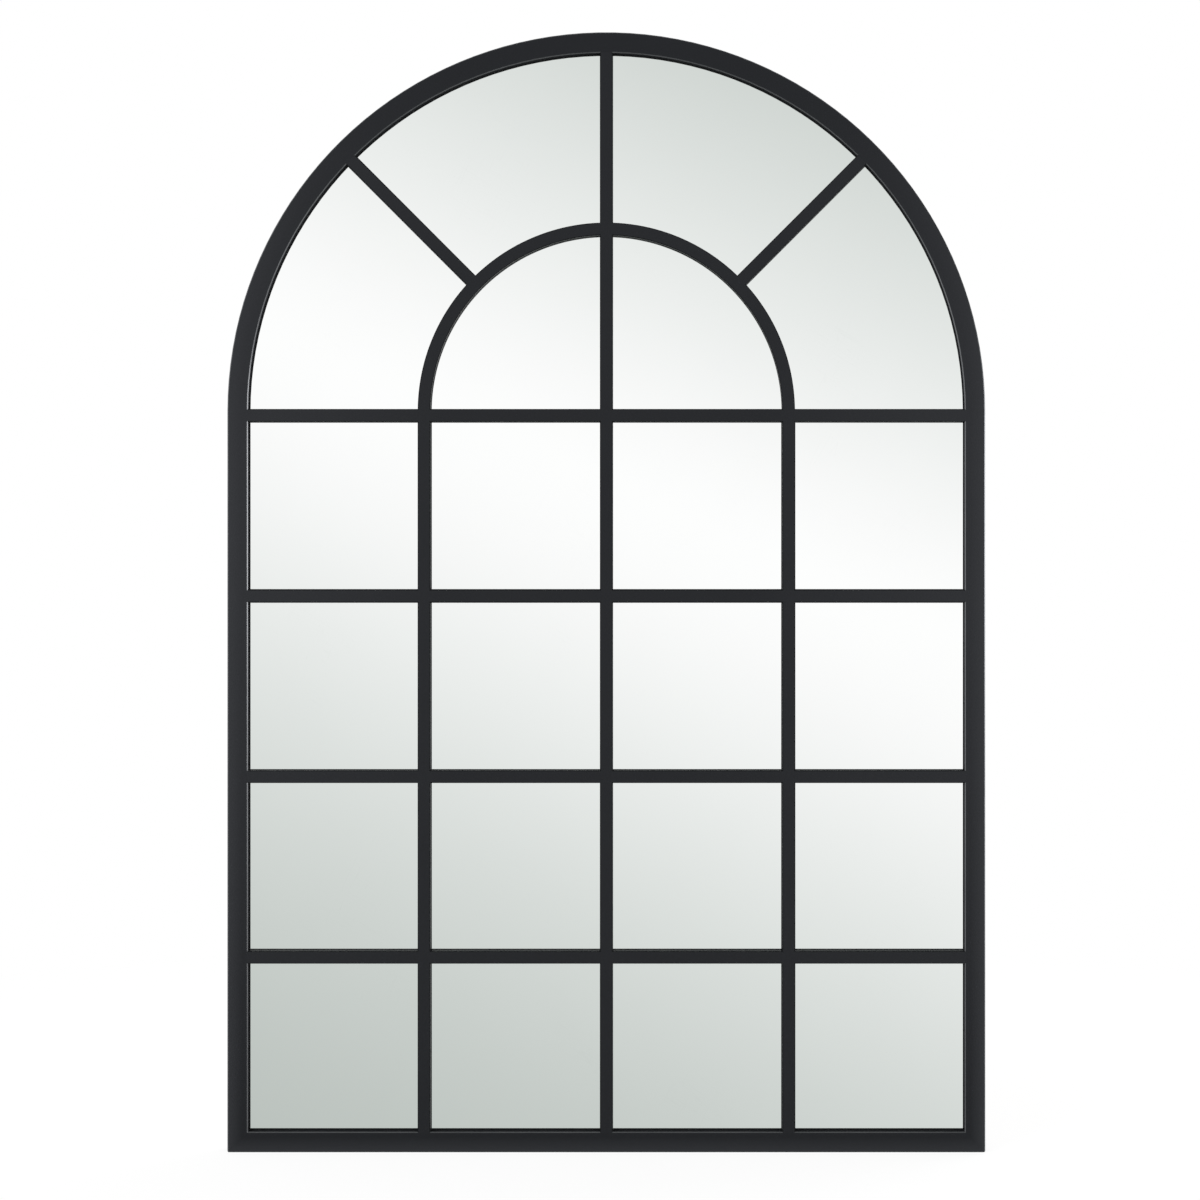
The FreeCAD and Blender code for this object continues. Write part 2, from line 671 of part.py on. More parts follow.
def hangingRing(side, sign):
    # own origin in the middle of its straight bar; the bow hangs below
    node = f"d_ring_{side}"
    body = newBody(f"{node}_solid")
    half = valueOf("Sizes.ring_width / 2")
    corner = valueOf("Sizes.ring_corner")
    low = -valueOf("Sizes.ring_corner + Sizes.ring_leg")
    axis = FreeCAD.Vector(0, 0, 1)
    spine = newSketch(body, f"{node}_line", "XZ_Plane")

    def line(x1, y1, x2, y2):
        ends = (FreeCAD.Vector(x1, y1, 0), FreeCAD.Vector(x2, y2, 0))
        return spine.addGeometry(Part.LineSegment(*ends), False)

    def arc(x, y, radius, first, last):
        circle = Part.Circle(FreeCAD.Vector(x, y, 0), axis, radius)
        return spine.addGeometry(Part.ArcOfCircle(circle, first, last), False)

    barRight = line(0, 0, half - corner, 0)
    cornerRight = arc(half - corner, -corner, corner, 0, math.pi / 2)
    legRight = line(half, -corner, half, low)
    bow = arc(0, low, half, math.pi, 2 * math.pi)
    legLeft = line(-half, low, -half, -corner)
    cornerLeft = arc(corner - half, -corner, corner, math.pi / 2, math.pi)
    barLeft = line(corner - half, 0, 0, 0)
    # each pair of neighbours meets without a kink; an arc's first end is its clockwise one
    for first, end, second, start in (
        (barRight, 2, cornerRight, 2),
        (cornerRight, 1, legRight, 1),
        (legRight, 2, bow, 2),
        (bow, 1, legLeft, 1),
        (legLeft, 2, cornerLeft, 2),
        (cornerLeft, 1, barLeft, 1),
    ):
        spine.addConstraint(Sketcher.Constraint("Tangent", first, end, second, start))
    pinPoint(spine, barRight, 1, ("0", "0"))
    spine.addConstraint(Sketcher.Constraint("Coincident", barLeft, 2, barRight, 1))
    for geometry in (barRight, barLeft):
        spine.addConstraint(Sketcher.Constraint("Horizontal", geometry))
    for geometry in (legRight, legLeft):
        spine.addConstraint(Sketcher.Constraint("Vertical", geometry))
    pinPoint(spine, legRight, 2, ("Sizes.ring_width / 2", "-Sizes.ring_corner - Sizes.ring_leg"))
    edge = spine.addConstraint(Sketcher.Constraint("DistanceX", -1, 1, legLeft, 1, -half))
    spine.setExpression(f"Constraints[{edge}]", "-Sizes.ring_width / 2")
    for geometry in (cornerRight, cornerLeft):
        bend = spine.addConstraint(Sketcher.Constraint("Radius", geometry, corner))
        spine.setExpression(f"Constraints[{bend}]", "Sizes.ring_corner")

    wire = circleSketch(body, f"{node}_wire", "YZ_Plane", ("0", "0"), "Sizes.wire_radius")
    pipe = body.newObject("PartDesign::AdditivePipe", f"{node}_pipe")
    pipe.Profile = wire
    pipe.Spine = spine
    keep(node, movedTo(body, f"{sign} * {frameMiddle}", eyeDepth, eyeHeight))


# Rubber bumpers: they stand the frame off the wall, clear of the hardware.
def wallBumper(node, x, z):
    body = newBody(node)
    disc = circleSketch(body, f"{node}_disc", "XZ_Plane", ("0", "0"), "Sizes.bumper_radius")
    pad = addPad(body, f"{node}_pad", disc, "Sizes.bumper_thickness")
    doc.recompute()
    rims = [
        f"Edge{number}"
        for number, edge in enumerate(pad.Shape.Edges, start=1)
        if edge.isClosed() and abs(edge.CenterOfMass.y) < FreeCAD.Base.Precision.confusion()
    ]
    fillet = body.newObject("PartDesign::Fillet", f"{node}_fillet")
    fillet.Base = (pad, rims)
    fillet.setExpression("Radius", "Sizes.bumper_rounding")
    keep(node, movedTo(body, x, z=z))


for side, sign in (("left", -1), ("right", 1)):
    hangerStrap(side, sign)
    hangingRing(side, sign)
    wallBumper(
        f"wall_bumper_lower_{side}", f"{sign} * {frameMiddle}", f"{bottomEdge} + Sizes.bumper_rise"
    )
    wallBumper(
        f"wall_bumper_upper_{side}",
        f"{sign} * {frameMiddle} * cos(Sizes.bumper_angle * 1 deg)",
        f"{frameMiddle} * sin(Sizes.bumper_angle * 1 deg)",
    )

doc.recompute()

# Every object has to have been worked out, and every piece has to be a sound closed solid.
for feature in doc.Objects:
    if "Invalid" in feature.State or "Error" in feature.State:
        raise RuntimeError(f"{feature.Name} failed: {feature.State}")
repeats = {
    "mounting_tapes": tapeCount,
    "retaining_clips": len(clips),
    "clip_screws": len(clipScrews),
    "strap_screws": len(strapScrews),
}
for node, feature in nodes.items():
    shape = feature.Shape
    if shape.isNull() or not shape.isValid():
        raise RuntimeError(f"{node} has no valid shape")
    if len(shape.Solids) != repeats.get(node, 1):
        raise RuntimeError(f"{node} has {len(shape.Solids)} solids")

os.makedirs("parts", exist_ok=True)
for node, feature in nodes.items():
    feature.Shape.exportStep(f"parts/{node}.step")
    print(node, len(feature.Shape.Solids), round(feature.Shape.Volume, 1))
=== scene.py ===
import math

import bpy
import numpy as np
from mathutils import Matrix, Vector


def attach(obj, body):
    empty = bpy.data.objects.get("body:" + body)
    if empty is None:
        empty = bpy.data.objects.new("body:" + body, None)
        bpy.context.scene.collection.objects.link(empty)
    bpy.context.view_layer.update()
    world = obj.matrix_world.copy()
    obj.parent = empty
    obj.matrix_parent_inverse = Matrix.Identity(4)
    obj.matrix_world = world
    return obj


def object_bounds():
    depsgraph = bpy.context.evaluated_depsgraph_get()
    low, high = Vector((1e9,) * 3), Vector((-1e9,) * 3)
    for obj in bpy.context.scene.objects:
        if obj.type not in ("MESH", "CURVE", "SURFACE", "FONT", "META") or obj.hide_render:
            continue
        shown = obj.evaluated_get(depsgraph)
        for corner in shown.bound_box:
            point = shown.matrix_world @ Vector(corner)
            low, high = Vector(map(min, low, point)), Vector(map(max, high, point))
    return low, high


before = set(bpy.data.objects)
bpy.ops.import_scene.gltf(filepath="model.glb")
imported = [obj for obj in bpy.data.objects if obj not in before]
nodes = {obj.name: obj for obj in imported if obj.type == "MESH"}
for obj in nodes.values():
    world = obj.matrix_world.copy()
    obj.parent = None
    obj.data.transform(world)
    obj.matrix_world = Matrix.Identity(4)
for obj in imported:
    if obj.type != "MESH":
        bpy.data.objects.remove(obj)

cadLow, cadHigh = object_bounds()
print("frame loaded:", len(nodes), "nodes")


# Small helpers for shader nodes: an input is given a value, or linked if it is another node's socket.
def put(tree, kind, inputs=None, **settings):
    node = tree.nodes.new("ShaderNode" + kind)
    for name, value in settings.items():
        setattr(node, name, value)
    for name, value in (inputs or {}).items():
        if isinstance(value, bpy.types.NodeSocket):
            tree.links.new(value, node.inputs[name])
        else:
            node.inputs[name].default_value = value
    return node


def calc(tree, operation, first, second=0.0, clamp=False):
    return put(tree, "Math", {0: first, 1: second}, operation=operation, use_clamp=clamp).outputs[0]


def blendColour(tree, amount, first, second):
    return put(tree, "Mix", {0: amount, 6: first, 7: second}, data_type="RGBA").outputs[2]


def spread(tree, value, low, high, toLow=0.0, toHigh=1.0):
    # straight ramp from one range to another, held at its ends
    places = {"Value": value, "From Min": low, "From Max": high, "To Min": toLow, "To Max": toHigh}
    return put(tree, "MapRange", places).outputs["Result"]


def noise(tree, place, scale, detail=3.0, rough=0.55, twist=0.0):
    places = {"Vector": place, "Scale": scale, "Detail": detail, "Roughness": rough, "Distortion": twist}
    return put(tree, "TexNoise", places).outputs[0]


def drawnOut(tree, place, length, turn):
    # turned about the front-to-back axis first, then drawn out that many times along the new upright
    places = {"Vector": place, "Scale": (1.0, 1.0, length), "Rotation": (0.0, turn, 0.0)}
    return put(tree, "Mapping", places, vector_type="TEXTURE").outputs["Vector"]


white = (1.0, 1.0, 1.0, 1.0)


def objectPlace(tree):
    return put(tree, "TexCoord").outputs["Object"]


def startGroup(name, inputs, outputs):
    group = bpy.data.node_groups.new(name, "ShaderNodeTree")
    for label, kind, value in inputs:
        socket = group.interface.new_socket(label, in_out="INPUT", socket_type="NodeSocket" + kind)
        socket.default_value = value
    for label, kind in outputs:
        group.interface.new_socket(label, in_out="OUTPUT", socket_type="NodeSocket" + kind)
    entry = group.nodes.new("NodeGroupInput").outputs
    leave = group.nodes.new("NodeGroupOutput").inputs
    return group, entry, leave


def useGroup(tree, group, inputs):
    return put(tree, "Group", inputs, node_tree=group).outputs


# Soft edges. Normal: the surface's normal averaged over a small radius, so that a chamfer reads as
# a round. Edge: one minus the cosine between that and the true normal, spread to run from 0 to 1.
def makeSoftEdges():
    group, entry, leave = startGroup(
        "softEdges",
        [("Radius", "Float", 0.001), ("Reach", "Float", 0.1)],
        [("Normal", "Vector"), ("Edge", "Float")],
    )
    rounded = put(group, "Bevel", {"Radius": entry["Radius"]}, samples=6).outputs[0]
    flat = put(group, "NewGeometry").outputs["True Normal"]
    cosine = put(group, "VectorMath", {0: rounded, 1: flat}, operation="DOT_PRODUCT").outputs["Value"]
    bend = calc(group, "SUBTRACT", 1.0, cosine)
    group.links.new(rounded, leave["Normal"])
    group.links.new(calc(group, "DIVIDE", bend, entry["Reach"], clamp=True), leave["Edge"])
    return group


# Grain. Height: two noises added, a coarse one at Size and one three times finer at half weight,
# less their mean. Specks: the peaks of a fine noise.
grainShape = {
    "noise": {"detail": 2.0},
    "speckNoise": {"detail": 1.0},
    "finer": 3.0,
    "fineWeight": 0.5,
    "mean": 0.75,
    "speckFrom": 0.66,
    "speckTo": 0.76,
}


def makeGrain():
    group, entry, leave = startGroup(
        "grain",
        [("Place", "Vector", (0, 0, 0)), ("Size", "Float", 0.001), ("Speck Size", "Float", 0.0006)],
        [("Height", "Float"), ("Specks", "Float")],
    )
    perMetre = calc(group, "DIVIDE", 1.0, entry["Size"])
    coarse = noise(group, entry["Place"], perMetre, **grainShape["noise"])
    finer = calc(group, "MULTIPLY", perMetre, grainShape["finer"])
    fine = noise(group, entry["Place"], finer, **grainShape["noise"])
    both = calc(group, "ADD", coarse, calc(group, "MULTIPLY", fine, grainShape["fineWeight"]))
    group.links.new(calc(group, "SUBTRACT", both, grainShape["mean"]), leave["Height"])
    speckScale = calc(group, "DIVIDE", 1.0, entry["Speck Size"])
    speck = noise(group, entry["Place"], speckScale, **grainShape["speckNoise"])
    specks = spread(group, speck, grainShape["speckFrom"], grainShape["speckTo"])
    group.links.new(specks, leave["Specks"])
    return group


# Handling. Film: large soft noise, as of wiping and fingers. Lines: thin bright bands where a
# drawn-out noise crosses its middle value, in two directions, broken up by the film.
handlingShape = {
    "filmNoise": {"detail": 4.0, "twist": 0.6},
    "lineNoise": {"detail": 1.0},
    "filmFrom": 0.35,
    "filmTo": 0.7,
    "turns": (0.5, -1.0),
    "drawnOut": 16.0,
    "lineHalf": 0.012,
    "brokenFrom": 0.55,
    "brokenTo": 0.68,
}


def makeHandling():
    group, entry, leave = startGroup(
        "handling",
        [("Place", "Vector", (0, 0, 0)), ("Film Size", "Float", 0.08), ("Line Size", "Float", 0.004)],
        [("Film", "Float"), ("Lines", "Float")],
    )
    filmScale = calc(group, "DIVIDE", 1.0, entry["Film Size"])
    film = noise(group, entry["Place"], filmScale, **handlingShape["filmNoise"])
    shown = spread(group, film, handlingShape["filmFrom"], handlingShape["filmTo"])
    group.links.new(shown, leave["Film"])
    perMetre = calc(group, "DIVIDE", 1.0, entry["Line Size"])
    bands = []
    for turn in handlingShape["turns"]:
        along = drawnOut(group, entry["Place"], handlingShape["drawnOut"], turn)
        field = noise(group, along, perMetre, **handlingShape["lineNoise"])
        off = calc(group, "ABSOLUTE", calc(group, "SUBTRACT", field, 0.5))
        bands.append(spread(group, off, 0.0, handlingShape["lineHalf"], 1.0, 0.0))
    lines = calc(group, "MAXIMUM", bands[0], bands[1])
    kept = spread(group, film, handlingShape["brokenFrom"], handlingShape["brokenTo"])
    group.links.new(calc(group, "MULTIPLY", lines, kept), leave["Lines"])
    return group


softEdges = makeSoftEdges()
grain = makeGrain()
handling = makeHandling()


def newMaterial(name):
    made = bpy.data.materials.new(name)
    made.use_nodes = True
    tree = made.node_tree
    return made, tree, tree.nodes["Principled BSDF"]


def marksOf(tree, place, sizes):
    inputs = {"Place": place, "Film Size": sizes["filmSize"], "Line Size": sizes["lineSize"]}
    return useGroup(tree, handling, inputs)


def bumped(tree, height, depth, normal=None):
    # a height of 1 stands for that depth in metres
    inputs = {"Height": height, "Distance": depth, "Strength": 1.0}
    if normal is not None:
        inputs["Normal"] = normal
    return put(tree, "Bump", inputs).outputs["Normal"]


# Where a point lies on the frame. Outward: 1 at the outer outline and 0 from Depth inwards, where the
# outline is a half circle of radius Half Width above the spring line, straight legs below it and a
# straight bottom edge. Chamfer: 1 where the surface faces half forwards and half sideways. Wall: 1
# where it faces fully sideways. The values are shares of facing straight forwards.
facingShares = {
    "chamferFrom": 0.25,
    "chamferFull": 0.6,
    "chamferFades": 0.8,
    "chamferEnds": 0.98,
    "wallFrom": 0.5,
    "wallFull": 0.25,
}


def makeFramePlace():
    group, entry, leave = startGroup(
        "framePlace",
        [
            ("Place", "Vector", (0, 0, 0)),
            ("Half Width", "Float", 0.4),
            ("Bottom", "Float", -0.8),
            ("Depth", "Float", 0.01),
        ],
        [("Outward", "Float"), ("Chamfer", "Float"), ("Wall", "Float")],
    )
    at = put(group, "SeparateXYZ", {0: entry["Place"]}).outputs
    above = calc(group, "MAXIMUM", at["Z"], 0.0)
    square = calc(group, "ADD", calc(group, "POWER", at["X"], 2.0), calc(group, "POWER", above, 2.0))
    fromSide = calc(group, "SUBTRACT", entry["Half Width"], calc(group, "SQRT", square))
    inside = calc(group, "MINIMUM", fromSide, calc(group, "SUBTRACT", at["Z"], entry["Bottom"]))
    share = calc(group, "DIVIDE", inside, entry["Depth"])
    group.links.new(calc(group, "SUBTRACT", 1.0, share, clamp=True), leave["Outward"])
    forwards = put(group, "SeparateXYZ", {0: put(group, "NewGeometry").outputs["Normal"]}).outputs["Y"]
    facing = calc(group, "ABSOLUTE", forwards)
    rising = spread(group, facing, facingShares["chamferFrom"], facingShares["chamferFull"])
    falling = spread(group, facing, facingShares["chamferEnds"], facingShares["chamferFades"])
    group.links.new(calc(group, "MULTIPLY", rising, falling), leave["Chamfer"])
    wall = spread(group, facing, facingShares["wallFrom"], facingShares["wallFull"])
    group.links.new(wall, leave["Wall"])
    return group


framePlace = makeFramePlace()

# Satin black powder coat on frame and bars alike: an even, very dark blue-grey with a fine orange peel and
# faint specks. Painted light makes it lighter towards the sides, around one height: the painted sheen =
# how far out a point lies sideways, times how near it is to that height. Low down, painted light also
# makes it lighter along the outer outline. It is dry on the frame's walls and smoother on the bars', so
# these catch more light. The frame's chamfers are rubbed through to dark steel, most at that same height,
# while painted shade makes the bars' chamfers darker than their faces.
coat = {
    # The first two colours are painted light: a lift along the outer outline low down, and a painted sheen
    # towards the sides. The third is painted shade for the bars' chamfers.
    "paintedEdgeLightColour": (0.0255, 0.0267, 0.0305, 1.0),
    "paintedSheenColour": (0.0180, 0.0190, 0.0222, 1.0),
    "shadeColour": (0.0036, 0.0039, 0.0048, 1.0),
    "speckColour": (0.030, 0.031, 0.034, 1.0),
    "steelColour": (0.165, 0.170, 0.178, 1.0),
    "wornSteelColour": (0.215, 0.220, 0.228, 1.0),
    "sheen": 0.175,
    "rough": 0.36,
    "frame": {
        "colour": (0.0099, 0.0107, 0.0132, 1.0),
        "steel": 1.0,
        "chamferRough": 0.25,
        "wallRough": 0.92,
        "shade": 0.0,
    },
    "bars": {
        "colour": (0.0115, 0.0123, 0.0149, 1.0),
        "steel": 0.0,
        "chamferRough": 0.75,
        "wallRough": 0.45,
        "shade": 0.7,
    },
    "filmSize": 0.09,
    "filmSpread": 0.05,
    "lineSize": 0.006,
    "lineShine": 0.06,
    "speckSize": 0.0009,
    "speckShare": 0.4,
    "peelSize": 0.0011,
    "peelDepth": 0.000008,
    "paintedEdgeLightDepth": 0.016,
    "paintedEdgeLightFrom": 0.30,  # heights from the spring line, the upper one first
    "paintedEdgeLightTo": -0.10,
    "paintedSheenFrom": 0.166,  # sideways from the middle
    "paintedSheenTo": 0.358,
    "sheenAndWearHeight": -0.12,  # height from the spring line
    "paintedSheenFull": 0.08,  # up or down from there
    "paintedSheenEnd": 0.64,
    "wornFull": 0.05,
    "wornEnd": 0.55,
    "leastWorn": 0.5,
}


def makeCoat(name, kind):
    made, tree, shader = newMaterial(name)
    place = objectPlace(tree)
    outline = {"Place": place, "Half Width": cadHigh[0], "Bottom": cadLow[2], "Depth": coat["paintedEdgeLightDepth"]}
    spot = useGroup(tree, framePlace, outline)
    peelSizes = {"Place": place, "Size": coat["peelSize"], "Speck Size": coat["speckSize"]}
    peel = useGroup(tree, grain, peelSizes)
    marks = marksOf(tree, place, coat)
    at = put(tree, "SeparateXYZ", {0: place}).outputs
    aside = calc(tree, "ABSOLUTE", at["X"])
    fromSheenAndWearHeight = calc(tree, "ABSOLUTE", calc(tree, "SUBTRACT", at["Z"], coat["sheenAndWearHeight"]))
    # painted sheen: the coat is made lighter towards the sides, most near one height
    sideways = spread(tree, aside, coat["paintedSheenFrom"], coat["paintedSheenTo"])
    level = spread(tree, fromSheenAndWearHeight, coat["paintedSheenEnd"], coat["paintedSheenFull"])
    paintedSheen = calc(tree, "MULTIPLY", sideways, level)
    body = blendColour(tree, paintedSheen, kind["colour"], coat["paintedSheenColour"])
    # painted light: the coat is made lighter along the outer outline, more so low down
    lowDown = spread(tree, at["Z"], coat["paintedEdgeLightFrom"], coat["paintedEdgeLightTo"])
    rubbedAndPaintedEdgeLight = calc(tree, "MULTIPLY", spot["Outward"], lowDown)
    body = blendColour(tree, rubbedAndPaintedEdgeLight, body, coat["paintedEdgeLightColour"])
    specks = calc(tree, "MULTIPLY", peel["Specks"], coat["speckShare"])
    body = blendColour(tree, specks, body, coat["speckColour"])
    # painted shade: the bars' chamfers are made darker than their faces
    shaded = calc(tree, "MULTIPLY", spot["Chamfer"], kind["shade"])
    body = blendColour(tree, shaded, body, coat["shadeColour"])
    worn = spread(tree, fromSheenAndWearHeight, coat["wornEnd"], coat["wornFull"], coat["leastWorn"], 1.0)
    bare = calc(tree, "MULTIPLY", calc(tree, "MULTIPLY", spot["Chamfer"], worn), kind["steel"])
    steel = blendColour(tree, marks["Film"], coat["steelColour"], coat["wornSteelColour"])
    tree.links.new(blendColour(tree, bare, body, steel), shader.inputs["Base Color"])
    tree.links.new(bare, shader.inputs["Metallic"])
    film = calc(tree, "MULTIPLY", calc(tree, "SUBTRACT", marks["Film"], 0.5), coat["filmSpread"])
    rough = spread(tree, spot["Chamfer"], 0.0, 1.0, coat["rough"], kind["chamferRough"])
    rough = calc(tree, "ADD", rough, film)
    rough = calc(tree, "SUBTRACT", rough, calc(tree, "MULTIPLY", marks["Lines"], coat["lineShine"]))
    dry = calc(tree, "MULTIPLY", spot["Wall"], kind["wallRough"] - coat["rough"])
    tree.links.new(calc(tree, "ADD", rough, dry), shader.inputs["Roughness"])
    shader.inputs["Specular IOR Level"].default_value = coat["sheen"]
    tree.links.new(bumped(tree, peel["Height"], coat["peelDepth"]), shader.inputs["Normal"])
    return made


# Silvered glass: a clean mirror with the faint green of its glass, and the lightest wiping film. Its
# back is painted grey over the silver, and its ground edges are a dull green.
glass = {
    "colour": (0.985, 0.992, 0.987, 1.0),
    "filmColour": (0.968, 0.975, 0.970, 1.0),
    "paintColour": (0.115, 0.125, 0.125, 1.0),
    "edgeColour": (0.105, 0.165, 0.145, 1.0),
    "rough": 0.004,
    "filmRough": 0.022,
    "paintRough": 0.55,
    "filmSize": 0.16,
    "filmShare": 0.35,
    "lineSize": 0.008,
    "spotSize": 0.002,
    "speckSize": 0.0012,
    "speckShare": 0.3,
    "frontFrom": -0.8,  # how far a face points backwards: the silver begins and is full
    "frontFull": -0.9,
    "rearFrom": 0.5,  # the paint begins and is full
    "rearFull": 0.9,
}


def makeMirror():
    made, tree, shader = newMaterial("silvered glass")
    place = objectPlace(tree)
    marks = marksOf(tree, place, glass)
    spotSizes = {"Place": place, "Size": glass["spotSize"], "Speck Size": glass["speckSize"]}
    spots = useGroup(tree, grain, spotSizes)
    backwards = put(tree, "SeparateXYZ", {0: put(tree, "NewGeometry").outputs["Normal"]}).outputs["Y"]
    front = spread(tree, backwards, glass["frontFrom"], glass["frontFull"])
    rear = spread(tree, backwards, glass["rearFrom"], glass["rearFull"])
    film = calc(tree, "MULTIPLY", marks["Film"], glass["filmShare"])
    worn = calc(tree, "ADD", film, marks["Lines"], clamp=True)
    silver = blendColour(tree, worn, glass["colour"], glass["filmColour"])
    other = blendColour(tree, rear, glass["edgeColour"], glass["paintColour"])
    specks = calc(tree, "MULTIPLY", spots["Specks"], glass["speckShare"])
    other = blendColour(tree, specks, other, glass["filmColour"])
    tree.links.new(blendColour(tree, front, other, silver), shader.inputs["Base Color"])
    rough = spread(tree, worn, 0.0, 1.0, glass["rough"], glass["filmRough"])
    rough = calc(tree, "ADD", rough, spread(tree, front, 0.0, 1.0, glass["paintRough"], 0.0))
    tree.links.new(rough, shader.inputs["Roughness"])
    tree.links.new(front, shader.inputs["Metallic"])
    return made


# Fibreboard: pressed wood fibres, a mottled warm brown with short darker and lighter fibres lying
# in three directions. Height: the lighter fibres stand up and the darker ones lie deeper.
board = {
    "colour": (0.36, 0.225, 0.118, 1.0),
    "lightFibre": (0.50, 0.345, 0.20, 1.0),
    "darkFibre": (0.17, 0.098, 0.050, 1.0),
    "rough": 0.72,
    "mottleRough": 0.12,
    "sheen": 0.3,
    "mottleScale": 26.0,
    "mottleNoise": {"detail": 6.0, "rough": 0.65},
    "mottleFrom": 0.3,
    "mottleTo": 0.7,
    "mottleShare": 0.35,
    "fibreTurns": (0.0, 1.05, 2.1),
    "fibreScales": (900.0, 760.0, 840.0),
    "fibreLength": 11.0,
    "fibreNoise": {"detail": 2.0},
    "lightFrom": 0.60,
    "lightTo": 0.72,
    "lightShare": 0.7,
    "darkFrom": 0.40,
    "darkTo": 0.28,
    "darkShare": 0.75,
    "fibreDepth": 0.00008,
}


def makeBoard():
    made, tree, shader = newMaterial("fibreboard")
    place = objectPlace(tree)
    cloudy = noise(tree, place, board["mottleScale"], **board["mottleNoise"])
    mottle = spread(tree, cloudy, board["mottleFrom"], board["mottleTo"])
    fibres = []
    for turn, scale in zip(board["fibreTurns"], board["fibreScales"]):
        along = drawnOut(tree, place, board["fibreLength"], turn)
        fibres.append(noise(tree, along, scale, **board["fibreNoise"]))
    highest = calc(tree, "MAXIMUM", fibres[0], fibres[1])
    lowest = calc(tree, "MINIMUM", fibres[1], fibres[2])
    light = spread(tree, highest, board["lightFrom"], board["lightTo"])
    dark = spread(tree, lowest, board["darkFrom"], board["darkTo"])
    body = board["colour"]
    for mask, share, tint in (
        (mottle, board["mottleShare"], board["lightFibre"]),
        (light, board["lightShare"], board["lightFibre"]),
        (dark, board["darkShare"], board["darkFibre"]),
    ):
        body = blendColour(tree, calc(tree, "MULTIPLY", mask, share), body, tint)
    tree.links.new(body, shader.inputs["Base Color"])
    rough = spread(tree, mottle, 0.0, 1.0, board["rough"], board["rough"] + board["mottleRough"])
    tree.links.new(rough, shader.inputs["Roughness"])
    height = calc(tree, "SUBTRACT", light, dark)
    tree.links.new(bumped(tree, height, board["fibreDepth"]), shader.inputs["Normal"])
    shader.inputs["Specular IOR Level"].default_value = board["sheen"]
    return made


# Bare metals: plated steel with a soft mottle, fine rubbed lines and brighter edges. The first
# dictionary holds what both platings share.
plating = {
    "edgeRadius": 0.0004,
    "edgeReach": 0.2,
    "edgeShare": 0.8,
    "filmSize": 0.006,
    "lineSize": 0.0009,
    "smoother": 0.04,
    "rougher": 0.08,
}
zinc = {
    "colour": (0.56, 0.575, 0.59, 1.0),
    "dullColour": (0.40, 0.415, 0.43, 1.0),
    "edgeColour": (0.74, 0.75, 0.76, 1.0),
    "rough": 0.34,
    "lineDepth": 0.000010,
}
nickel = {
    "colour": (0.66, 0.625, 0.575, 1.0),
    "dullColour": (0.52, 0.49, 0.45, 1.0),
    "edgeColour": (0.78, 0.75, 0.71, 1.0),
    "rough": 0.14,
    "lineDepth": 0.000004,
}


def makeMetal(name, metal):
    made, tree, shader = newMaterial(name)
    place = objectPlace(tree)
    edges = useGroup(tree, softEdges, {"Radius": plating["edgeRadius"], "Reach": plating["edgeReach"]})
    marks = marksOf(tree, place, plating)
    body = blendColour(tree, marks["Film"], metal["colour"], metal["dullColour"])
    rubbedAndPaintedEdgeLight = calc(tree, "MULTIPLY", edges["Edge"], plating["edgeShare"])
    bright = calc(tree, "ADD", rubbedAndPaintedEdgeLight, marks["Lines"], clamp=True)
    tree.links.new(blendColour(tree, bright, body, metal["edgeColour"]), shader.inputs["Base Color"])
    least, most = metal["rough"] - plating["smoother"], metal["rough"] + plating["rougher"]
    rough = spread(tree, marks["Film"], 0.0, 1.0, least, most)
    tree.links.new(rough, shader.inputs["Roughness"])
    shader.inputs["Metallic"].default_value = 1.0
    height = calc(tree, "SUBTRACT", marks["Film"], marks["Lines"])
    tree.links.new(bumped(tree, height, metal["lineDepth"], edges["Normal"]), shader.inputs["Normal"])
    return made


# Rubber, foam and a matte black for the edge seal and the painted reflection lines: dull and matt, with a
# fine open grain. The first dictionary holds what all three share.
softness = {
    "filmSize": 0.006,
    "filmShare": 0.3,
    "lineSize": 0.003,
    "speckShare": 0.4,
    "smoother": 0.08,
    "rougher": 0.06,
    "poreDepth": 0.00005,
}
rubber = {
    "colour": (0.020, 0.020, 0.021, 1.0),
    "dust": (0.075, 0.072, 0.068, 1.0),
    "rough": 0.74,
    "pore": 0.0007,
}
foam = {
    "colour": (0.62, 0.61, 0.57, 1.0),
    "dust": (0.40, 0.39, 0.36, 1.0),
    "rough": 0.9,
    "pore": 0.0009,
}
# matte black for the edge seal, and for the painted dark reflection beside the bars
matteBlack = {
    "colour": (0.010, 0.010, 0.012, 1.0),
    "dust": (0.022, 0.022, 0.024, 1.0),
    "rough": 0.8,
    "pore": 0.0005,
}


def makeSoft(name, soft):
    made, tree, shader = newMaterial(name)
    place = objectPlace(tree)
    pores = useGroup(tree, grain, {"Place": place, "Size": soft["pore"], "Speck Size": soft["pore"]})
    marks = marksOf(tree, place, softness)
    specks = calc(tree, "MULTIPLY", pores["Specks"], softness["speckShare"])
    dusty = calc(tree, "ADD", calc(tree, "MULTIPLY", marks["Film"], softness["filmShare"]), specks)
    tree.links.new(blendColour(tree, dusty, soft["colour"], soft["dust"]), shader.inputs["Base Color"])
    least, most = soft["rough"] - softness["smoother"], soft["rough"] + softness["rougher"]
    rough = spread(tree, marks["Film"], 0.0, 1.0, least, most)
    tree.links.new(rough, shader.inputs["Roughness"])
    tree.links.new(bumped(tree, pores["Height"], softness["poreDepth"]), shader.inputs["Normal"])
    return made


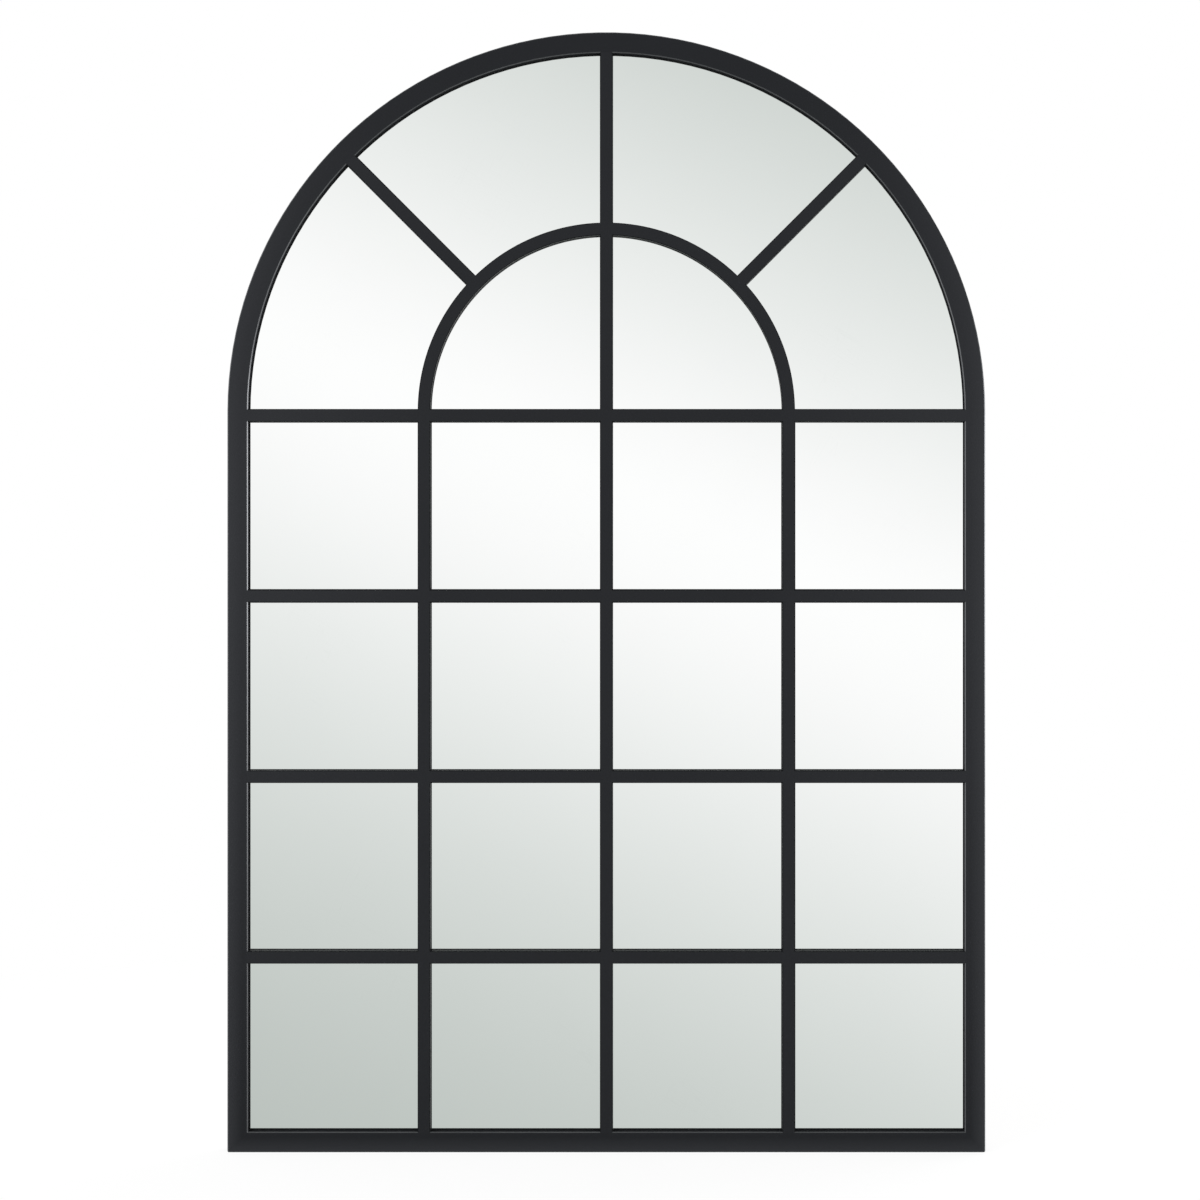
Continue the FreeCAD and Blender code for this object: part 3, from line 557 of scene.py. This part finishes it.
# Which nodes carry which finish: the start of a node's name, and the first that fits.
frameFinish = makeCoat("satin black frame coat", coat["frame"])
barFinish = makeCoat("satin black bar coat", coat["bars"])
matteBlackFinish = makeSoft("matte black", matteBlack)
zincFinish = makeMetal("zinc plate", zinc)
finishes = [
    ("frame_", frameFinish),
    ("centre_bar", barFinish),
    ("side_bar", barFinish),
    ("inner_arch", barFinish),
    ("spoke", barFinish),
    ("crossbar", barFinish),
    ("mirror_glass", makeMirror()),
    ("backing_board", makeBoard()),
    ("mounting_tapes", makeSoft("foam tape", foam)),
    ("wall_bumper", makeSoft("bumper rubber", rubber)),
    ("d_ring", makeMetal("nickel wire", nickel)),
    ("retaining_clips", zincFinish),
    ("clip_screws", zincFinish),
    ("strap_screws", zincFinish),
    ("hanger_strap", zincFinish),
]
for name, node in nodes.items():
    chosen = next(finish for start, finish in finishes if name.startswith(start))
    node.data.materials.clear()
    node.data.materials.append(chosen)
print("finishes set on", len(nodes), "nodes")


# Pieces of the scene's own. A path is a row of points, sideways and up, in a plane that lies level
# metres back. A section is a closed outline, given as distances to the left of the path and distances
# behind that plane.
def sweep(paths, sections, level):
    # each path carries one section per point; each end is closed by one face; the whole is one mesh
    points, faces, start = [], [], 0
    for path, section in zip(paths, sections):
        ahead = np.gradient(path, axis=0)
        ahead /= np.linalg.norm(ahead, axis=1, keepdims=True)
        left = np.stack([-ahead[:, 1], ahead[:, 0]], axis=1)
        across, behind = section[..., 0], section[..., 1]
        flat = path[:, None, :] + across[..., None] * left[:, None, :]
        points.append(np.stack([flat[..., 0], level + behind, flat[..., 1]], axis=-1).reshape(-1, 3))
        stations, corners = across.shape
        row = np.arange(corners)
        after = (row + 1) % corners
        base = start + corners * np.arange(stations - 1)[:, None]
        sides = np.stack([base + row, base + corners + row, base + corners + after, base + after], axis=-1)
        faces += sides.reshape(-1, 4).tolist()
        faces += [(start + row).tolist(), (start + corners * (stations - 1) + row[::-1]).tolist()]
        start += corners * stations
    return np.concatenate(points), faces


def signedVolume(mesh, points):
    # a sixth of each triangle's box product with the origin, added up
    mesh.calc_loop_triangles()
    corners = np.empty(3 * len(mesh.loop_triangles), dtype=np.int32)
    mesh.loop_triangles.foreach_get("vertices", corners)
    first, second, third = points[corners.reshape(-1, 3)].transpose(1, 0, 2)
    return float((first * np.cross(second, third)).sum()) / 6


def addPiece(name, points, faces, finish):
    mesh = bpy.data.meshes.new(name)
    mesh.from_pydata(points, [], faces)
    if signedVolume(mesh, points) < 0.0:
        mesh.flip_normals()
    mesh.materials.append(finish)
    made = bpy.data.objects.new(name, mesh)
    bpy.context.scene.collection.objects.link(made)
    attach(made, "root")
    return made


def boxOf(name):
    mesh = nodes[name].data
    at = np.empty(3 * len(mesh.vertices), dtype=np.float32)
    mesh.vertices.foreach_get("co", at)
    turned = np.array(nodes[name].matrix_world)
    at = at.reshape(-1, 3) @ turned[:3, :3].T + turned[:3, 3]
    return at.min(axis=0), at.max(axis=0)


# Painted reflection lines: beside each bar's foot a hair of black stands in for the dark reflection of the
# bar in the silver behind the glass. Each line is a flat strip from the bar's wall outwards with a
# bevelled edge.
paintedReflectionLine = {
    "centreShows": 0.00035,  # how far past the bar's wall
    "uprightShows": 0.0009,
    "crossShows": 0.00065,
    "curveShows": 0.0005,
    "thick": 0.00015,
    "bevel": 0.0001,
    "sunk": 0.00002,
    "intoBar": 0.0002,
    "stepsPerBar": 8,
    "stepsPerArc": 96,
}


def stripSection(count, wall, shows):
    # from inside the bar's wall to past it, on the left of the path when both are positive; the
    # corners run the same way round on either side
    edge = wall + shows
    top = edge - math.copysign(paintedReflectionLine["bevel"], edge)
    inner = wall - math.copysign(paintedReflectionLine["intoBar"], wall)
    foot, face = paintedReflectionLine["sunk"], -paintedReflectionLine["thick"]
    corners = [(inner, foot), (edge, foot), (top, face), (inner, face)]
    return np.tile([corners if edge > 0.0 else corners[::-1]], (count, 1, 1))


def makePaintedReflectionLines():
    glassFront = boxOf("mirror_glass")[0][1]
    steps = paintedReflectionLine["stepsPerBar"]
    paths, sections = [], []

    def along(path, half, shows):
        for side in (-1.0, 1.0):
            paths.append(path)
            sections.append(stripSection(len(path), side * half, side * shows))

    centreLow, centreHigh = boxOf("centre_bar")
    half = (centreHigh[0] - centreLow[0]) / 2
    tall = np.linspace(centreLow[2], centreHigh[2], steps)
    along(np.stack([np.zeros(steps), tall], axis=1), half, paintedReflectionLine["centreShows"])
    for side in ("left", "right"):
        low, high = boxOf("side_bar_" + side)
        middle = (low[0] + high[0]) / 2
        tall = np.linspace(low[2], 0.0, steps)
        along(np.stack([np.full(steps, middle), tall], axis=1), half, paintedReflectionLine["uprightShows"])
        turn = np.linspace(0.0, math.pi / 2, paintedReflectionLine["stepsPerArc"])
        bend = np.stack([middle * np.cos(turn), abs(middle) * np.sin(turn)], axis=1)
        along(bend, half, paintedReflectionLine["curveShows"])
        low, high = boxOf("spoke_" + side)
        outwards = -1.0 if side == "left" else 1.0
        ends = (high[0], low[0]) if side == "left" else (low[0], high[0])
        # a spoke's box runs corner to corner of a 45 degree bar, half a face past its middle line
        inset = half / math.sqrt(2.0)
        run = np.linspace(ends[0] + outwards * inset, ends[1] - outwards * inset, steps)
        rise = np.linspace(low[2] + inset, high[2] - inset, steps)
        along(np.stack([run, rise], axis=1), half, paintedReflectionLine["curveShows"])
    for name in nodes:
        if name.startswith("crossbar"):
            low, high = boxOf(name)
            run = np.linspace(low[0], high[0], steps)
            level = np.full(steps, (low[2] + high[2]) / 2)
            along(np.stack([run, level], axis=1), half, paintedReflectionLine["crossShows"])
    points, faces = sweep(paths, sections, glassFront)
    addPiece("bar_painted_reflection_lines", points, faces, matteBlackFinish)


# Edge seal: a black bead all round in the gap between the glass and the frame, so no light comes
# through. Its section is slightly hollow front and back, and it lies within the glass's thickness.
seal = {
    "intoFrame": 0.0002,
    "overGlass": 0.0012,  # from the frame's inner wall
    "front": 0.0007,  # behind the face of the glass
    "back": 0.0035,
    "hollow": 0.0004,
    "stepsPerLeg": 24,
    "stepsPerArc": 160,
}


def makeEdgeSeal():
    glassFront = boxOf("mirror_glass")[0][1]
    inner = float(boxOf("frame_stile_right")[0][0])
    foot = float(boxOf("frame_bottom_rail")[1][2])
    leg = np.linspace(foot, 0.0, seal["stepsPerLeg"], endpoint=False)
    turn = np.linspace(0.0, math.pi, seal["stepsPerArc"])
    sideways = np.concatenate([np.full(len(leg), inner), inner * np.cos(turn), np.full(len(leg), -inner)])
    height = np.concatenate([leg, inner * np.sin(turn), leg[::-1]])
    run = np.linspace(-inner, inner, seal["stepsPerLeg"])
    paths = [np.stack([sideways, height], axis=1), np.stack([run, np.full(len(run), foot)], axis=1)]
    middle = (seal["overGlass"] - seal["intoFrame"]) / 2
    corners = [
        (-seal["intoFrame"], seal["front"]),
        (middle, seal["front"] + seal["hollow"]),
        (seal["overGlass"], seal["front"]),
        (seal["overGlass"], seal["back"]),
        (middle, seal["back"] - seal["hollow"]),
        (-seal["intoFrame"], seal["back"]),
    ]
    sections = [np.tile([corners], (len(path), 1, 1)) for path in paths]
    points, faces = sweep(paths, sections, glassFront)
    addPiece("edge_seal", points, faces, matteBlackFinish)


# Weld beads on the back of the frame: one along each mitre and one where each stile meets the arch.
# A bead's section is a flat half round, width across and proud high, that swells and shrinks with
# the ripples of the weld: height = proud * (1 + ripple * sin(2 pi * distance / pitch + the bead's
# number)). The width follows the ripples a little and drifts slowly, and over the last part of its
# length the bead falls to nothing and narrows to a share of its width.
bead = {
    "width": 0.0042,
    "widthRipple": 0.08,
    "drift": 0.12,
    "driftPitch": 0.009,
    "driftShift": 2.1,  # from one bead to the next
    "proud": 0.0006,
    "leastProud": 0.00001,
    "ripple": 0.22,
    "pitch": 0.0014,
    "endLength": 0.0016,
    "endWidth": 0.25,
    "steps": 160,
    "around": 14,
    "inset": 0.0016,
    "sunk": 0.0003,
}


def makeWeldBeads():
    frameBack = boxOf("frame_arch")[1][1]
    low, high = boxOf("frame_bottom_rail")
    outer, inner = cadHigh[0], boxOf("frame_stile_right")[0][0]
    paths, sections, lines = [], [], []
    for sign in (-1.0, 1.0):
        lines.append(((sign * inner, high[2]), (sign * outer, low[2])))
        lines.append(((sign * inner, 0.0), (sign * outer, 0.0)))
    angle = np.linspace(0.0, math.pi, bead["around"])
    for number, (start, end) in enumerate(lines):
        start, end = np.array(start), np.array(end)
        length = float(np.linalg.norm(end - start))
        inset = bead["inset"] * length / (outer - inner)
        share = np.linspace(inset / length, 1.0 - inset / length, bead["steps"])
        path = start + share[:, None] * (end - start)
        distance = share * length
        ripple = np.sin(2 * math.pi * distance / bead["pitch"] + number)
        turned = 2 * math.pi * distance / bead["driftPitch"] + bead["driftShift"] * number
        swell = 1.0 + bead["widthRipple"] * ripple + bead["drift"] * np.sin(turned)
        toEnd = np.minimum(distance - inset, length - inset - distance)
        ends = np.sqrt(np.clip(toEnd / bead["endLength"], 0.0, 1.0))
        tall = bead["proud"] * (1.0 + bead["ripple"] * ripple) * ends + bead["leastProud"]
        wide = bead["width"] / 2 * swell * (bead["endWidth"] + (1.0 - bead["endWidth"]) * ends)
        halfRound = np.stack([wide[:, None] * np.cos(angle), tall[:, None] * np.sin(angle)], axis=-1)
        sunk = np.full((bead["steps"], 2), -bead["sunk"])
        foot = np.stack([np.stack([-wide, wide], axis=1), sunk], axis=-1)
        sections.append(np.concatenate([halfRound, foot], axis=1))
        paths.append(path)
    points, faces = sweep(paths, sections, frameBack)
    made = addPiece("weld_beads", points, faces, barFinish)
    made.data.shade_smooth()


makePaintedReflectionLines()
makeEdgeSeal()
makeWeldBeads()
print("painted reflection lines, edge seal and weld beads made")

# Camera: it looks straight along the wall's normal, a little right of the middle and below the
# arch, so the frame takes a small shift. The lens is worked out from the picture's scale.
camera = {
    "across": 0.0575,
    "height": -0.159,
    "distance": 2.85,  # from the front of the frame
    "pictureSize": 1200,
    "pixelsPerMetre": 933.6,  # at the front of the frame
    "footRight": 60,  # of the picture's middle, in pixels
    "footUp": 40.4,
    "sensor": 36.0,  # millimetres
}


def makeCamera():
    data = bpy.data.cameras.new("camera")
    data.sensor_width = camera["sensor"]
    focalPixels = camera["pixelsPerMetre"] * camera["distance"]
    data.lens = focalPixels / camera["pictureSize"] * camera["sensor"]
    data.shift_x = -camera["footRight"] / camera["pictureSize"]
    data.shift_y = -camera["footUp"] / camera["pictureSize"]
    made = bpy.data.objects.new("camera", data)
    made.location = (camera["across"], cadLow[1] - camera["distance"], camera["height"])
    made.rotation_euler = (math.pi / 2, 0.0, 0.0)
    bpy.context.scene.collection.objects.link(made)
    bpy.context.scene.camera = made


makeCamera()
print("camera set")

# Studio. What shiny surfaces see is a bright band across a paler room: from the band's ridge line,
# height + slope * across = rise, the light falls off as 1 / (1 + (distance / width) ** power), with
# a width and power of its own above and below the ridge, and a least level below it. Away to either
# side in front the room is paler, by a straight ramp that rises with height. Fully to the left and
# right stand tall soft panels, the right one brightest at eye level. A dim light lies straight above
# and below. Colour moves towards glass green as the light falls.
studio = {
    "slope": 0.44,
    "rise": 0.020,
    "top": 1.0,
    "widthAbove": 0.257,
    "powerAbove": 1.52,
    "widthBelow": 0.191,
    "powerBelow": 1.80,
    "leastBelow": 0.294,
    "greenCast": (0.930, 1.0, 0.955, 1.0),
    "castFrom": 0.97,
    "castTo": 0.55,
    "paleFrom": 0.36,  # how far sideways the paler room begins and is full
    "paleTo": 0.60,
    "paleBottom": -0.55,  # between these heights it rises from its least level to its most
    "paleTop": 0.10,
    "paleLeast": 0.48,
    "paleMost": 0.90,
    "paleFades": 0.35,  # above this height it fades, and is gone at the next
    "paleEnds": 0.55,
    "farFrom": 0.80,  # how far sideways the panels begin and are full
    "farTo": 0.90,
    "farBottom": -0.75,  # between these heights the panels come in and go out again
    "farLow": -0.30,
    "farHigh": 0.20,
    "farTop": 0.34,
    "farLeft": 1.0,
    "farRight": 1.05,
    "farPeak": 3.0,
    "peakAt": 0.02,
    "peakFull": 0.04,  # up or down from there
    "peakReach": 0.10,
    "overhead": 0.30,
    "overheadFrom": 0.6,  # how far up or down it begins and is full
    "overheadTo": 0.9,
    "frontFull": -0.3,  # how far forwards the paler room is full
    "roomLevel": 0.95,  # even light on dull surfaces
}


def makeWorld():
    world = bpy.data.worlds.new("studio")
    bpy.context.scene.world = world
    world.use_nodes = True
    tree = world.node_tree
    tree.nodes.clear()
    way = put(tree, "SeparateXYZ", {0: put(tree, "TexCoord").outputs["Generated"]}).outputs
    slope = studio["slope"]
    tilted = calc(tree, "ADD", way["Z"], calc(tree, "MULTIPLY", way["X"], slope))
    fromRidge = calc(tree, "SUBTRACT", tilted, studio["rise"])
    away = calc(tree, "DIVIDE", fromRidge, math.sqrt(1.0 + slope * slope))
    sides = []
    for sign, width, power in (
        (1.0, studio["widthAbove"], studio["powerAbove"]),
        (-1.0, studio["widthBelow"], studio["powerBelow"]),
    ):
        far = calc(tree, "MAXIMUM", calc(tree, "MULTIPLY", away, sign / width), 0.0)
        sides.append(calc(tree, "DIVIDE", 1.0, calc(tree, "ADD", 1.0, calc(tree, "POWER", far, power))))
    below = spread(tree, sides[1], 0.0, 1.0, studio["leastBelow"], 1.0)
    band = calc(tree, "MULTIPLY", calc(tree, "MULTIPLY", sides[0], below), studio["top"])
    aside = calc(tree, "ABSOLUTE", way["X"])
    onRight = calc(tree, "GREATER_THAN", way["X"], 0.0)
    rising = spread(tree, way["Z"], studio["farBottom"], studio["farLow"])
    ending = spread(tree, way["Z"], studio["farTop"], studio["farHigh"])
    fromPeak = calc(tree, "ABSOLUTE", calc(tree, "SUBTRACT", way["Z"], studio["peakAt"]))
    peak = spread(tree, fromPeak, studio["peakReach"], studio["peakFull"], 0.0, studio["farPeak"])
    farRight = calc(tree, "ADD", peak, studio["farRight"])
    gain = calc(tree, "MULTIPLY", onRight, calc(tree, "SUBTRACT", farRight, studio["farLeft"]))
    farLevel = calc(tree, "ADD", gain, studio["farLeft"])
    far = calc(tree, "MULTIPLY", calc(tree, "MULTIPLY", rising, ending), farLevel)
    far = calc(tree, "MULTIPLY", far, spread(tree, aside, studio["farFrom"], studio["farTo"]))
    levels = (studio["paleLeast"], studio["paleMost"])
    pale = spread(tree, way["Z"], studio["paleBottom"], studio["paleTop"], *levels)
    fading = spread(tree, way["Z"], studio["paleEnds"], studio["paleFades"])
    inFront = spread(tree, way["Y"], 0.0, studio["frontFull"])
    begun = spread(tree, aside, studio["paleFrom"], studio["paleTo"])
    for share in (fading, inFront, begun):
        pale = calc(tree, "MULTIPLY", pale, share)
    upOrDown = calc(tree, "ABSOLUTE", way["Z"])
    reach = (studio["overheadFrom"], studio["overheadTo"])
    overhead = spread(tree, upOrDown, *reach, 0.0, studio["overhead"])
    level = calc(tree, "MAXIMUM", calc(tree, "MAXIMUM", band, overhead), calc(tree, "MAXIMUM", far, pale))
    cast = spread(tree, level, studio["castFrom"], studio["castTo"])
    colour = blendColour(tree, cast, white, studio["greenCast"])
    seen = put(tree, "VectorMath", {0: colour, "Scale": level}, operation="SCALE").outputs[0]
    path = put(tree, "LightPath").outputs
    shiny = calc(tree, "MAXIMUM", path["Is Glossy Ray"], path["Is Transmission Ray"])
    room = studio["roomLevel"]
    lit = blendColour(tree, shiny, (room, room, room, 1.0), seen)
    shown = blendColour(tree, path["Is Camera Ray"], lit, white)
    light = put(tree, "Background", {"Color": shown, "Strength": 1.0}).outputs[0]
    tree.links.new(light, put(tree, "OutputWorld").inputs["Surface"])


# One large soft key from the upper left front and a weaker fill from the upper right behind: they
# shade dull surfaces and the floor, while shiny ones see only the studio.
lamps = {
    "key": {"place": (-2.2, -2.6, 2.4), "size": 2.2, "power": 62.0},
    "fill": {"place": (2.4, 1.9, 1.7), "size": 2.4, "power": 46.0},
}


def makeLamps():
    aim = (cadLow + cadHigh) / 2
    for name, lamp in lamps.items():
        data = bpy.data.lights.new(name, "AREA")
        data.shape = "DISK"
        data.size = lamp["size"]
        data.energy = lamp["power"]
        made = bpy.data.objects.new(name, data)
        made.location = lamp["place"]
        made.rotation_euler = (aim - made.location).to_track_quat("-Z", "Y").to_euler()
        made.visible_glossy = False
        bpy.context.scene.collection.objects.link(made)


# Floor: white paper that keeps the shadow near the mirror. The camera sees the rest as plain white,
# by a share that grows from the mirror outwards.
floor = {
    "half": 9.0,
    "colour": (0.92, 0.92, 0.92, 1.0),
    "nearShare": 0.88,
    "nearReach": 0.45,
    "farReach": 1.5,
}


def makeFloor():
    half, height = floor["half"], cadLow[2]
    corners = [(-half, -half, height), (half, -half, height), (half, half, height), (-half, half, height)]
    mesh = bpy.data.meshes.new("floor")
    mesh.from_pydata(corners, [], [(0, 1, 2, 3)])
    made = bpy.data.objects.new("floor", mesh)
    bpy.context.scene.collection.objects.link(made)
    made.visible_glossy = False
    paper, tree, shader = newMaterial("floor paper")
    shader.inputs["Base Color"].default_value = floor["colour"]
    shader.inputs["Roughness"].default_value = 1.0
    shader.inputs["Specular IOR Level"].default_value = 0.0
    plain = put(tree, "Emission", {"Color": white, "Strength": 1.0}).outputs[0]
    away = put(tree, "VectorMath", {0: objectPlace(tree), 1: (0.0, 0.0, height)}, operation="DISTANCE")
    reach = (floor["nearReach"], floor["farReach"])
    grown = spread(tree, away.outputs["Value"], *reach, floor["nearShare"], 1.0)
    share = calc(tree, "MULTIPLY", put(tree, "LightPath").outputs["Is Camera Ray"], grown)
    both = put(tree, "MixShader", {0: share, 1: shader.outputs[0], 2: plain}).outputs[0]
    tree.links.new(both, tree.nodes["Material Output"].inputs["Surface"])
    mesh.materials.append(paper)


makeWorld()
makeLamps()
makeFloor()
bpy.context.scene.view_settings.view_transform = "Standard"
print("studio lit")
